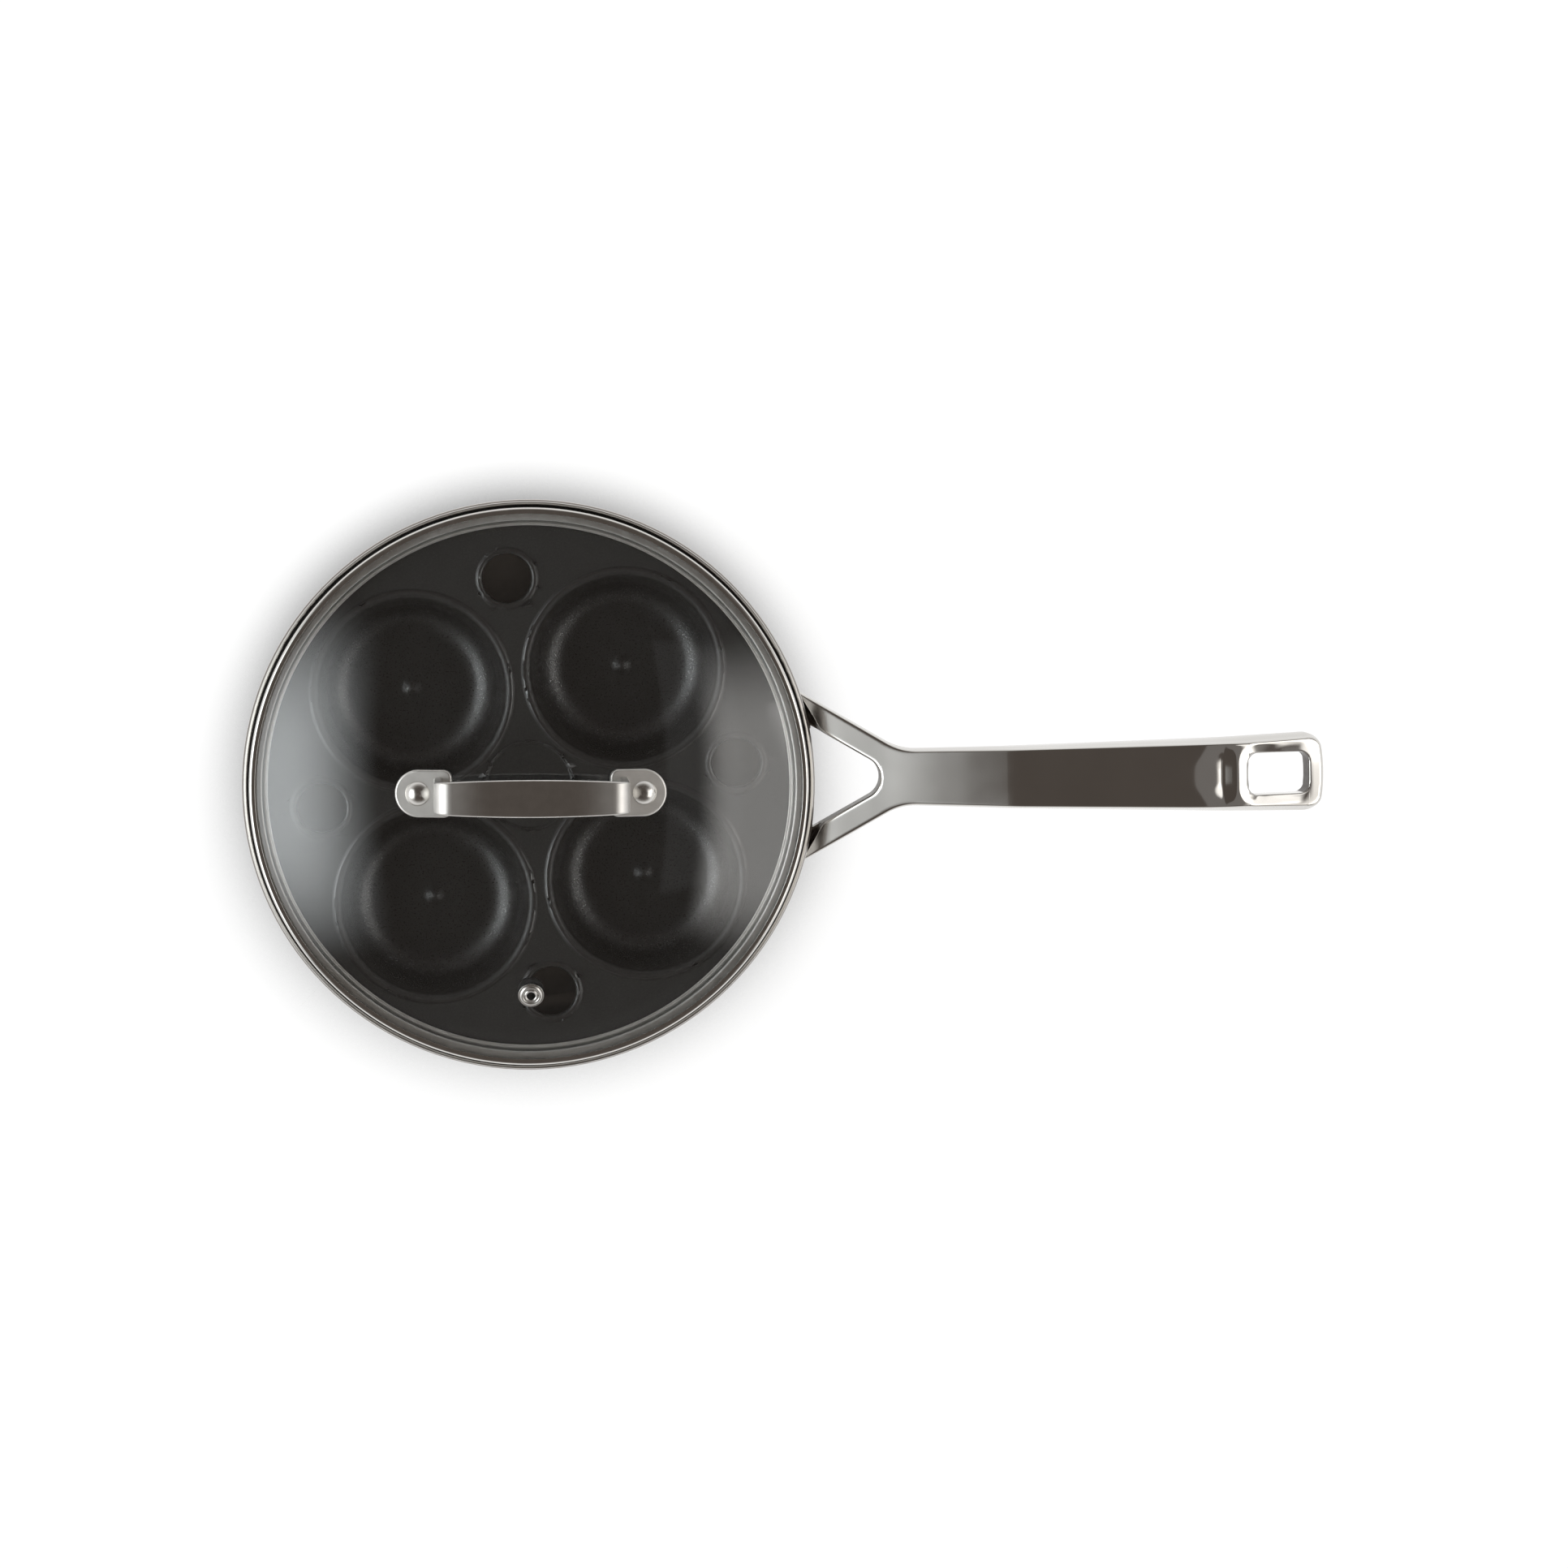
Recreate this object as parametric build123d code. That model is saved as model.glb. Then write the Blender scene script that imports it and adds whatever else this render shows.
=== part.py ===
from build123d import *

import os
from math import asin, cos, degrees, hypot, radians, sin, sqrt, tan

# An egg poacher pan: a clad steel pan with a forked cast handle, a pressed plate with four cups
# that hangs in its mouth, and a domed glass lid with a steel band and a strap handle.
# Millimetres. The origin is the centre of the pan's base, on the surface that it stands on.
# +X runs along the pan's handle and +Z is up.

# Pan wall: three bonded plies that follow one shape
pan_inner_radius = 99.8
rim_height = 70.0
outer_ply = 0.5
core_ply = 1.6
inner_ply = 0.5
floor_bend = 14.0
flare_radius = 7.0
flare_angle = 70.0

# Pan handle: a casting with two legs, a pad at the end of each and a loop to hang it by
handle_reach = 188.8
neck_reach = 38.7
neck_width = 20.9
end_width = 29.4
end_corner = 6.5
end_bow = 1.6
end_bow_radius = 70.0
leg_angle = 30.5
leg_width = 8.8
leg_reach = 43.2
crotch_radius = 7.8
armpit_radius = 20.0
grip_thickness = 12.0
handle_edge = 3.0
opening_edge = 2.4
hang_hole_length = 23.2
hang_hole_width = 16.2
hang_hole_corner = 3.6
hang_hole_margin = 6.6
root_drop = 6.0
root_reach = 3.6
neck_slope = 18.0
neck_length = 68.1
grip_slope = 9.0
tip_length = 37.6
tip_slope = 8.0
neck_bend = 240.0
crest_bend = 150.0

# Handle pads on the wall, under the rim
pad_width = 15.0
pad_height = 23.0
pad_thickness = 4.2
pad_drop = 13.0
pad_corner = 3.0
step_angle = 29.7

# Pan rivets
pan_rivet_radius = 3.0
pan_rivet_head = 6.2
pan_rivet_rise = 2.2
pan_rivet_tail = 4.6
pan_rivet_tail_rise = 1.2
rivet_clearance = 0.05

# Poaching insert: one pressed sheet
insert_sheet = 1.2
insert_depth = 5.2
insert_turn = 4.8
insert_clearance = 0.9
insert_flange_reach = 2.9
insert_bend = 2.0
cup_count = 4
cup_web = 2.7
cup_margin = 6.45
cup_depth = 22.0
cup_draw_in = 7.0
cup_floor_bend = 9.0
cup_bead_rise = 1.6
cup_bead_run = 3.0
cup_bead_bend = 2.4
nub_radius = 3.6
nub_height = 1.2
steam_hole_radius = 8.9
steam_web = 4.9
steam_collar = 1.6
steam_bead_rise = 1.4
steam_bead_run = 2.6
steam_bead_bend = 1.3
badge_web = 0.25
badge_depth = 0.5
badge_run = 0.8
press_bend = 1.4
press_skirt = 0.6

# Lid: glass, steel band and the seat between them
glass_thickness = 4.0
glass_overhang = 2.1
glass_brim = 3.9
dome_radius = 209.0
dome_foot_bend = 8.0
band_sheet = 0.6
band_top_reach = 1.0
band_leg_reach = 5.5
band_lip_drop = 3.9
band_lip_lean = 1.3
band_lip_bend = 1.6
lid_turn = -1.2

# Lid handle: a steel strap with a foot at each end
strap_height = 24.4
strap_half_span = 35.2
strap_thickness = 3.0
strap_end_width = 11.1
strap_mid_width = 13.7
strap_bend = 6.5
strap_arch = 0.9
strap_edge = 0.9
rivet_standoff = 5.3
foot_width = 17.3
foot_thickness = 2.2
foot_outer_reach = 8.4
foot_inner_reach = 12.45
foot_inner_corner = 3.0
foot_edge = 0.8

# Lid fasteners: a rivet, a pad above the glass, a grommet and a washer below it
lid_rivet_radius = 2.5
lid_rivet_head = 4.5
lid_rivet_rise = 2.4
lid_rivet_tail = 3.9
lid_rivet_tail_rise = 1.4
foot_pad_thickness = 0.8
foot_pad_inset = 0.7
grommet_wall = 0.9
grommet_flange_radius = 7.4
grommet_flange = 1.2
washer_radius = 6.4
washer_thickness = 0.8

# Steam vent in the lid
vent_inset = 23.1
vent_bore = 1.45
vent_wall = 0.8
vent_flange_radius = 4.7
vent_flange_rise = 1.3
vent_tail_radius = 3.4
vent_tail_rise = 0.9
vent_lip = 0.5

# Clearances shared by the moving pieces, and the overrun that serves every cut
seat_gap = 0.3
overrun = 3.0

# Angle in degrees within which a face counts as upright
upright_within = 1.0

# Sizes that follow from the ones above
wall = outer_ply + core_ply + inner_ply
pan_outer_radius = pan_inner_radius + wall
flare_start = rim_height - flare_radius * sin(radians(flare_angle))
insert_outer_radius = pan_inner_radius - insert_clearance
insert_flange_radius = insert_outer_radius + insert_flange_reach

# Places along the handle, measured out from the wall, and back from the end for the tip
root_place = pan_outer_radius + root_reach
neck_place = pan_outer_radius + neck_reach
leg_meeting = pan_outer_radius + leg_reach
handle_end = pan_outer_radius + handle_reach
neck_end = root_place + neck_length
crest_place = handle_end - tip_length

# Cups that leave a web between neighbours and a margin to the upstand, and what lies between them
half_step_share = sin(radians(180 / cup_count))
cup_pitch = (insert_outer_radius - cup_margin + cup_web / 2) / (1 + half_step_share)
cup_foot_radius = cup_pitch * half_step_share - cup_web / 2
cup_mouth = cup_foot_radius - cup_bead_run
cup_floor_radius = cup_mouth - cup_draw_in
steam_foot_radius = steam_hole_radius + steam_bead_run
steam_span = cup_foot_radius + steam_web + steam_foot_radius
steam_hole_pitch = cup_pitch * cos(radians(180 / cup_count))
steam_hole_pitch += sqrt(steam_span**2 - (cup_pitch * half_step_share) ** 2)
badge_radius = cup_pitch - cup_foot_radius - 2 * press_skirt - badge_run / 2 - badge_web


def flare_height(radius):
    """Height of the pouring rim's inside face at a radius beyond the straight wall."""
    across = pan_inner_radius + flare_radius - radius
    return flare_start + sqrt(flare_radius**2 - across**2)


insert_flange_top = flare_height(insert_flange_radius) + seat_gap + insert_sheet
plate_top = insert_flange_top - insert_depth
glass_seat = insert_flange_top + seat_gap + band_sheet
glass_brim_top = glass_seat + glass_thickness
glass_edge_radius = pan_inner_radius + glass_overhang
dome_foot_radius = glass_edge_radius - glass_brim
dome_centre = glass_brim_top - sqrt(dome_radius**2 - dome_foot_radius**2)
foot_place = strap_half_span + rivet_standoff
vent_place = dome_foot_radius - vent_inset


def shifted(points, distance):
    """Corners of the same open line, moved sideways to its left by a distance."""
    corners = [Vector(*point) for point in points]
    ways = [(b - a).normalized() for a, b in zip(corners, corners[1:])]
    sides = [Vector(-way.Y, way.X) for way in ways]
    moved = [corners[0] + sides[0] * distance]
    for corner, before, after in zip(corners[1:-1], sides, sides[1:]):
        moved.append(corner + (before + after) * (distance / (1 + before.dot(after))))
    moved.append(corners[-1] + sides[-1] * distance)
    return moved


def shifted_bends(points, bends, distance):
    """Bend radii of the moved line: smaller inside a bend, larger outside it."""
    corners = [Vector(*point) for point in points]
    ways = [b - a for a, b in zip(corners, corners[1:])]
    turns = [a.X * b.Y - a.Y * b.X for a, b in zip(ways, ways[1:])]
    return [bend - distance if turn > 0 else bend + distance for bend, turn in zip(bends, turns)]


def strip(points, bends, near, far):
    """Section of a bent sheet: the area between two lines that run beside one open line."""
    outline = shifted(points, near) + shifted(points, far)[::-1]
    near_bends = shifted_bends(points, bends, near)
    far_bends = shifted_bends(points, bends, far)
    radii = [0, *near_bends, 0, 0, *far_bends[::-1], 0]
    return make_face(FilletPolyline(*outline, radius=radii, close=True))


def turned(section):
    """A section drawn as radius and height, turned round the Z axis."""
    return revolve(Plane.XZ * section, Axis.Z)


def disc(radius, bottom, top):
    """A plain round plate between two heights."""
    return Pos(0, 0, bottom) * Cylinder(radius, top - bottom, align=(Align.CENTER, Align.CENTER, Align.MIN))


def dome_cap(radius, rise, bottom):
    """A rivet head: a shallow ball cap of a given radius and rise, flat underneath."""
    ball = (radius**2 + rise**2) / (2 * rise)
    return disc(radius, bottom, bottom + rise) & Pos(0, 0, bottom + rise - ball) * Sphere(ball)


# Pan


def wall_line():
    """The wall's inside face from the axis to the foot of the pouring rim."""
    return [(0, wall), (pan_inner_radius, wall), (pan_inner_radius, flare_start)]


def ply(near, far):
    """One layer of the clad wall, between two depths below the inside face."""
    body = turned(strip(wall_line(), [floor_bend], -near, -far))
    centre = (pan_inner_radius + flare_radius, flare_start)
    inner = CenterArc(centre, flare_radius - near, 180, -flare_angle)
    outer = CenterArc(centre, flare_radius - far, 180, -flare_angle)
    lip = make_face([inner, Line(inner @ 1, outer @ 1), outer, Line(outer @ 0, inner @ 0)])
    return body + turned(lip)


pad_face = pan_outer_radius + pad_thickness
pad_top = rim_height - pad_drop
pad_middle = pad_top - pad_height / 2


def pad_azimuth():
    """Angle round the pan, in degrees, at which a leg's centre line meets the face of its pad."""
    return degrees(asin(leg_meeting * sin(radians(leg_angle)) / pad_face)) - leg_angle


def at_pad(side):
    """Frame on the pan's axis at a pad's middle height, with its Z pointing out through the pad."""
    return Rot(0, 0, side * pad_azimuth()) * Pos(0, 0, pad_middle) * Rot(0, 90, 0)


def wall_bore(side):
    """The hole for one pan rivet through the wall and the pad."""
    radius = pan_rivet_radius + rivet_clearance
    return at_pad(side) * disc(radius, pan_inner_radius - overrun, pad_face + overrun)


def pan_rivet(side):
    """A rivet whose wide head lies inside the pan and whose small tail lies on the pad."""
    head_foot = pan_inner_radius - pan_rivet_rise / 2
    shank = disc(pan_rivet_radius, head_foot, pad_face + pan_rivet_tail_rise / 2)
    head = mirror(dome_cap(pan_rivet_head, pan_rivet_rise + wall, 0), Plane.XY)
    head = Pos(0, 0, pan_inner_radius + wall) * head
    tail_foot = pad_face - pan_rivet_tail_rise
    tail = Pos(0, 0, tail_foot) * dome_cap(pan_rivet_tail, 2 * pan_rivet_tail_rise, 0)
    inside = disc(pan_inner_radius, 0, rim_height)
    outside = disc(pad_face, 0, rim_height)
    placed = at_pad(side)
    return placed * shank + (placed * head & inside) + (placed * tail - outside)


# Pan handle


def handle_plan():
    """Top view of the handle: the grip, the two legs, the fork between them and a bowed end."""
    lean = radians(leg_angle)
    half_leg = leg_width / 2 / cos(lean)

    def leg_edge(place, shift):
        return (leg_meeting - place) * tan(lean) + shift

    def grip_edge(place):
        share = (place - neck_place) / (handle_end - neck_place)
        return (neck_width + (end_width - neck_width) * share) / 2

    root = root_place - pan_inner_radius * (1 - cos(lean))
    slope = (end_width - neck_width) / 2 / (handle_end - neck_place)
    base = grip_edge(0)
    armpit = (leg_meeting * tan(lean) + half_leg - base) / (slope + tan(lean))
    outline = [
        (root, leg_edge(root, half_leg)),
        (armpit, grip_edge(armpit)),
        (handle_end - end_bow, end_width / 2),
        (handle_end, 0),
        (handle_end - end_bow, -end_width / 2),
        (armpit, -grip_edge(armpit)),
        (root, -leg_edge(root, half_leg)),
    ]
    radii = [0, armpit_radius, end_corner, end_bow_radius, end_corner, armpit_radius, 0]
    body = make_face(FilletPolyline(*outline, radius=radii, close=True))
    crotch = leg_meeting - half_leg / tan(lean)
    mouth = root - overrun
    fork = [(mouth, leg_edge(mouth, -half_leg)), (crotch, 0), (mouth, -leg_edge(mouth, -half_leg))]
    return body - make_face(FilletPolyline(*fork, radius=[0, crotch_radius, 0], close=True))


root_top = rim_height - root_drop
neck_top = root_top + neck_length * tan(radians(neck_slope))
crest_top = neck_top + (crest_place - neck_end) * tan(radians(grip_slope))


def tip_top(place):
    """Height of the handle's top face at a place past the crest."""
    return crest_top - (place - crest_place) * tan(radians(tip_slope))


def handle_side():
    """Side view of the bar: a steep neck, a flatter grip and a tip that turns down."""
    beyond = handle_end + overrun
    behind = pan_inner_radius - floor_bend
    behind_top = root_top - (root_place - behind) * tan(radians(neck_slope))
    line = [(behind, behind_top), (neck_end, neck_top), (crest_place, crest_top), (beyond, tip_top(beyond))]
    return strip(line, [neck_bend, crest_bend], 0, -grip_thickness)


def hang_hole():
    """The hole to hang the pan by, square to the slope of the tip."""
    middle = handle_end - hang_hole_margin - hang_hole_length / 2
    outline = RectangleRounded(hang_hole_length, hang_hole_width, hang_hole_corner)
    hole = extrude(outline, grip_thickness, both=True)
    return Pos(middle, 0, tip_top(middle) - grip_thickness / 2) * Rot(0, tip_slope, 0) * hole


def handle_pad(side):
    """The plate at the end of a leg, curved to lie on the wall."""
    plate = extrude(RectangleRounded(pad_height, pad_width, pad_corner), pad_face + pad_thickness)
    return at_pad(side) * plate & disc(pad_face, 0, rim_height)


def in_fork(place):
    """Whether a place on the handle's upright faces lies between the legs."""
    return abs(place.Y) < (leg_meeting - place.X) * tan(radians(leg_angle))


def on_outside(place):
    """Whether a place on the handle's upright faces lies on its outline."""
    return not in_fork(place)


def long_edges(edges):
    """Those of some edges that run along the handle more than up and down."""
    ways = [(edge, edge % 0.5) for edge in edges]
    return [edge for edge, way in ways if abs(way.Z) < hypot(way.X, way.Y)]


def side_edges(bar, keep):
    """The long edges of the upright faces whose middles are to be kept."""
    upright = bar.faces().filter_by(lambda face: abs(face.normal_at().Z) < sin(radians(upright_within)))
    chosen = upright.filter_by(lambda face: face.center().X > pan_inner_radius and keep(face.center()))
    return long_edges(chosen.edges())


def pan_handle():
    """The whole casting, cut to the wall and cleared under the pouring rim."""
    half = end_width + leg_width
    bar = extrude(handle_plan(), handle_end) & extrude(Plane.XZ * handle_side(), half, both=True)
    bar = fillet(side_edges(bar, in_fork), opening_edge)
    bar = fillet(side_edges(bar, on_outside), handle_edge)
    hole = hang_hole()
    pierced = bar - hole
    bar = fillet(long_edges(new_edges(bar, hole, combined=pierced)), opening_edge)
    for side in (1, -1):
        block = Box(floor_bend, end_width, rim_height, align=(Align.MAX, Align.CENTER, Align.MIN))
        edge = (root_place, side * (leg_meeting - root_place) * tan(radians(leg_angle)))
        bar -= Pos(*edge, pad_top) * Rot(0, 0, side * step_angle) * block
        bar += handle_pad(side)
    bar -= disc(pan_outer_radius, 0, rim_height)
    return bar - wall_bore(1) - wall_bore(-1)


# Poaching insert


def cup_line():
    """Top face of a cup from the flat plate inwards: bead, wall, floor and the nub in its middle."""
    return [
        (cup_foot_radius + press_skirt, 0),
        (cup_foot_radius, 0),
        (cup_mouth, cup_bead_rise),
        (cup_floor_radius, -cup_depth),
        (nub_radius + nub_height, -cup_depth),
        (nub_radius, nub_height - cup_depth),
        (0, nub_height - cup_depth),
    ]


def steam_line():
    """Top face round a steam hole from the flat plate inwards: bead and short collar."""
    return [
        (steam_foot_radius + press_skirt, 0),
        (steam_foot_radius, 0),
        (steam_hole_radius, steam_bead_rise),
        (steam_hole_radius, -insert_sheet - steam_collar),
    ]


def badge_line():
    """Top face of the shallow round press in the middle of the plate."""
    return [
        (badge_radius + badge_run / 2 + press_skirt, 0),
        (badge_radius + badge_run / 2, 0),
        (badge_radius - badge_run / 2, -badge_depth),
        (0, -badge_depth),
    ]


def insert_plate():
    """The pressed sheet with its cups, steam holes, upstand and flange, as one piece."""
    inner = insert_outer_radius - insert_sheet
    rim_line = [(0, 0), (inner, 0), (inner, insert_depth), (insert_flange_radius, insert_depth)]
    plate = turned(strip(rim_line, [insert_bend, insert_sheet], 0, -insert_sheet))
    cup_bends = [press_bend, cup_bead_bend, cup_floor_bend, press_bend, press_bend]
    cup = turned(strip(cup_line(), cup_bends, 0, insert_sheet))
    steam = turned(strip(steam_line(), [press_bend, steam_bead_bend], 0, insert_sheet))
    badge = turned(strip(badge_line(), [press_bend, press_bend / 2], 0, insert_sheet))
    features = [(badge, badge_line()[0][0], 0, 0)]
    step = 360 / cup_count
    for number in range(cup_count):
        features.append((cup, cup_line()[0][0], cup_pitch, number * step + step / 2))
        features.append((steam, steam_line()[0][0], steam_hole_pitch, number * step))
    for shape, radius, pitch, angle in features:
        place = Rot(0, 0, angle) * Pos(pitch, 0, 0)
        plate -= place * disc(radius, -overrun, overrun)
        plate += place * shape
    return Pos(0, 0, plate_top) * Rot(0, 0, insert_turn) * plate


# Lid


def on_dome(radius, azimuth):
    """Frame on the glass's top face: Z along the outward normal, X pointing downhill."""
    lean = degrees(asin(radius / dome_radius))
    swing = Rot(0, 0, lid_turn + azimuth) * Pos(0, 0, dome_centre) * Rot(0, lean, 0)
    return swing * Pos(0, 0, dome_radius)


grommet_bore = lid_rivet_radius + rivet_clearance
foot_hole = grommet_bore + grommet_wall
vent_tube = vent_bore + vent_wall
vent_hole = vent_tube + grommet_wall
lid_holes = [(foot_place, 0, foot_hole), (foot_place, 180, foot_hole), (vent_place, -90, vent_hole)]


def lid_glass():
    """Tempered glass: a ball cap with a narrow flat brim and three drilled holes."""
    low_ball = dome_radius - glass_thickness
    low_foot = sqrt(low_ball**2 - (glass_seat - dome_centre) ** 2)
    centre = (0, dome_centre)
    top = CenterArc(centre, dome_radius, 90, -degrees(asin(dome_foot_radius / dome_radius)))
    low = CenterArc(centre, low_ball, 90, -degrees(asin(low_foot / low_ball)))
    outer_top = (glass_edge_radius, glass_brim_top)
    outer_low = (glass_edge_radius, glass_seat)
    brim = [Line(top @ 1, outer_top), Line(outer_top, outer_low), Line(outer_low, low @ 1)]
    section = make_face([top, *brim, low, Line(low @ 0, top @ 0)])
    foot = section.vertices().sort_by(lambda point: (Vector(point.X, point.Y) - (top @ 1)).length)[0]
    section = fillet(foot, dome_foot_bend)
    glass = turned(section)
    for radius, azimuth, hole in lid_holes:
        glass -= on_dome(radius, azimuth) * disc(hole, -glass_thickness - overrun, overrun)
    return glass


def lid_band():
    """Steel strip rolled over the glass's edge, with a seat under it and a lip that centres the lid."""
    edge = glass_edge_radius
    seat = edge - band_leg_reach
    line = [
        (edge - band_top_reach, glass_brim_top),
        (edge, glass_brim_top),
        (edge, glass_seat),
        (seat, glass_seat),
        (seat - band_lip_lean, glass_seat - band_lip_drop - band_sheet),
    ]
    return turned(strip(line, [0, 0, band_lip_bend], 0, band_sheet))


foot_base = foot_pad_thickness
foot_top = foot_base + foot_thickness


def foot_outline(inset):
    """Plan of a foot in its own frame: round at the outer end, square with soft corners inside."""
    half = foot_width / 2 - inset
    inner = -foot_inner_reach + inset
    round_centre = foot_outer_reach - foot_width / 2
    block = Pos((inner + round_centre) / 2, 0) * Rectangle(round_centre - inner, 2 * half)
    plan = block + Pos(round_centre, 0) * Circle(half)
    return fillet(plan.vertices().sort_by(Axis.X)[:2], foot_inner_corner)


def lid_handle():
    """Strap bent from one bar, wider in the middle, with a foot laid against the dome at each end."""
    top = glass_brim_top + strap_rise()
    sink = foot_top - foot_thickness / 2
    base = dome_centre + sqrt((dome_radius + sink) ** 2 - strap_half_span**2)
    half = strap_half_span
    line = [(half, base), (half, top - strap_arch), (0, top), (-half, top - strap_arch), (-half, base)]
    arch_bend = half**2 / strap_arch / 4
    side = strip(line, [strap_bend, arch_bend, strap_bend], 0, strap_thickness)
    strap = extrude(Plane.XZ * side, foot_width, both=True)
    end, middle = strap_end_width / 2, strap_mid_width / 2
    upper = ThreePointArc((-half - overrun, end), (0, middle), (half + overrun, end))
    lower = ThreePointArc((half + overrun, -end), (0, -middle), (-half - overrun, -end))
    plan = make_face([upper, Line(upper @ 1, lower @ 0), lower, Line(lower @ 1, upper @ 0)])
    strap &= extrude(plan, top + overrun)
    ways = [(edge, edge % 0.5) for edge in strap.edges()]
    along = [edge for edge, way in ways if abs(way.Y) < hypot(way.X, way.Z)]
    handle = Rot(0, 0, lid_turn) * fillet(along, strap_edge)
    for azimuth in (0, 180):
        plate = extrude(foot_outline(0), foot_thickness)
        plate = fillet(plate.edges().group_by(Axis.Z)[-1], foot_edge)
        plate -= disc(grommet_bore, -overrun, foot_thickness + overrun)
        handle += on_dome(foot_place, azimuth) * Pos(0, 0, foot_base) * plate
    return handle


def strap_rise():
    """Height of the strap's crown above the glass's brim."""
    dome_rise = dome_radius - sqrt(dome_radius**2 - dome_foot_radius**2)
    foot_fall = dome_radius - sqrt(dome_radius**2 - foot_place**2)
    return dome_rise - foot_fall + foot_top + strap_height


under_glass = -glass_thickness
grommet_foot = under_glass - grommet_flange
washer_foot = grommet_foot - washer_thickness


def ball(radius):
    """A ball about the dome's centre, in the frame of a place on the dome."""
    return Pos(0, 0, -dome_radius) * Sphere(radius)


def low_flange(radius):
    """A grommet's round flange, laid against the underside of the glass."""
    return disc(radius, grommet_foot, under_glass) & ball(dome_radius - glass_thickness)


def lid_fastener(azimuth):
    """The pieces that hold one foot to the glass, from the top down: pad, grommet, washer, rivet."""
    frame = on_dome(foot_place, azimuth)
    through = disc(grommet_bore, washer_foot - overrun, overrun)
    pad = extrude(foot_outline(foot_pad_inset), foot_pad_thickness) - ball(dome_radius)
    collar = disc(foot_hole, grommet_foot, 0) & ball(dome_radius)
    grommet = collar + low_flange(grommet_flange_radius)
    washer = disc(washer_radius, washer_foot, grommet_foot)
    tail = mirror(dome_cap(lid_rivet_tail, lid_rivet_tail_rise, 0), Plane.XY)
    rivet = disc(lid_rivet_radius, washer_foot, foot_top) + Pos(0, 0, washer_foot) * tail
    rivet += dome_cap(lid_rivet_head, lid_rivet_rise, foot_top)
    return [frame * piece for piece in (pad - through, grommet - through, washer - through, rivet)]


def vent():
    """The pieces of the steam vent: a steel eyelet, its grommet and the washer it is closed over."""
    frame = on_dome(vent_place, -90)
    seat = grommet_flange / 2
    brow = seat + vent_flange_rise
    flange_line = [
        (vent_bore + vent_wall / 2, brow - vent_lip),
        (vent_tube + vent_lip, brow),
        (vent_flange_radius - vent_lip, brow - vent_lip / 2),
        (vent_flange_radius, seat + vent_lip / 2),
        (vent_flange_radius - vent_lip / 2, seat),
        (vent_bore, seat),
        (vent_bore, brow - vent_lip),
    ]
    eyelet = turned(make_face(Polyline(*flange_line, close=True)))
    eyelet += disc(vent_tube, washer_foot, seat)
    eyelet += disc(vent_tail_radius, washer_foot - vent_tail_rise, washer_foot)
    eyelet -= disc(vent_bore, washer_foot - overrun, overrun)
    tube = disc(vent_tube + rivet_clearance, washer_foot - overrun, overrun)
    ring = disc(vent_flange_radius, -overrun, seat) - ball(dome_radius)
    sleeve = disc(vent_hole, under_glass - grommet_flange / 2, seat)
    grommet = ring + sleeve + low_flange(vent_flange_radius) - tube
    washer = disc(vent_flange_radius, washer_foot, grommet_foot) - tube
    return [frame * piece for piece in (eyelet, grommet, washer)]


def build():
    """Every piece by the name of its node."""
    bores = wall_bore(1) + wall_bore(-1)
    depths = [0, inner_ply, inner_ply + core_ply, wall]
    names = ["pan_inner_ply", "pan_core_ply", "pan_outer_ply"]
    pieces = {}
    for name, near, far in zip(names, depths, depths[1:]):
        pieces[name] = ply(near, far) - bores
    pieces["pan_handle"] = pan_handle()
    pieces["pan_rivet_left"] = pan_rivet(1)
    pieces["pan_rivet_right"] = pan_rivet(-1)
    pieces["insert_plate"] = insert_plate()
    pieces["lid_glass"] = lid_glass()
    pieces["lid_band"] = lid_band()
    pieces["lid_handle"] = lid_handle()
    for end, azimuth in (("front", 0), ("back", 180)):
        pad, grommet, washer, rivet = lid_fastener(azimuth)
        pieces[f"lid_foot_pad_{end}"] = pad
        pieces[f"lid_grommet_{end}"] = grommet
        pieces[f"lid_washer_{end}"] = washer
        pieces[f"lid_rivet_{end}"] = rivet
    pieces["vent_eyelet"], pieces["vent_grommet"], pieces["vent_washer"] = vent()
    return pieces


os.makedirs("parts", exist_ok=True)
for name, piece in build().items():
    export_step(piece, os.path.join("parts", name + ".step"))
    print(name, round(piece.volume), "mm3", len(piece.solids()), "solids")
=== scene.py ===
import math

import bmesh
import bpy
import numpy as np
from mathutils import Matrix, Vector
from mathutils.geometry import tessellate_polygon


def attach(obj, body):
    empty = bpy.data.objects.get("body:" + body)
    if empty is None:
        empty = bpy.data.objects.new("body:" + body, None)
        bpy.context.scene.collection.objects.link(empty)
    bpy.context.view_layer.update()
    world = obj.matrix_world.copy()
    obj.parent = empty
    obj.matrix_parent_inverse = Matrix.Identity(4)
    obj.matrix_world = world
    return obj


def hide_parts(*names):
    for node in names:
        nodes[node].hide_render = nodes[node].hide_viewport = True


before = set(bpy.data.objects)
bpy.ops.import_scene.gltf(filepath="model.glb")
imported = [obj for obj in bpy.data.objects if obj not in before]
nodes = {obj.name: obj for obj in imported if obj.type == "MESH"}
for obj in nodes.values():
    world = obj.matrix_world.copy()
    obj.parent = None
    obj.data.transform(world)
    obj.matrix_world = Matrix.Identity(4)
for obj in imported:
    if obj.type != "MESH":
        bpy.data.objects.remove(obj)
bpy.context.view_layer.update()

# Camera. It hangs two metres above the pan and looks almost straight down. The lens is long,
# so the pan hardly tapers, and a little of each far side shows.
camera_data = bpy.data.cameras.new("overhead_camera")
camera_data.sensor_width = 36.0
camera_data.lens = 121.17
camera_data.clip_end = 60.0
camera = bpy.data.objects.new("overhead_camera", camera_data)
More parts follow.
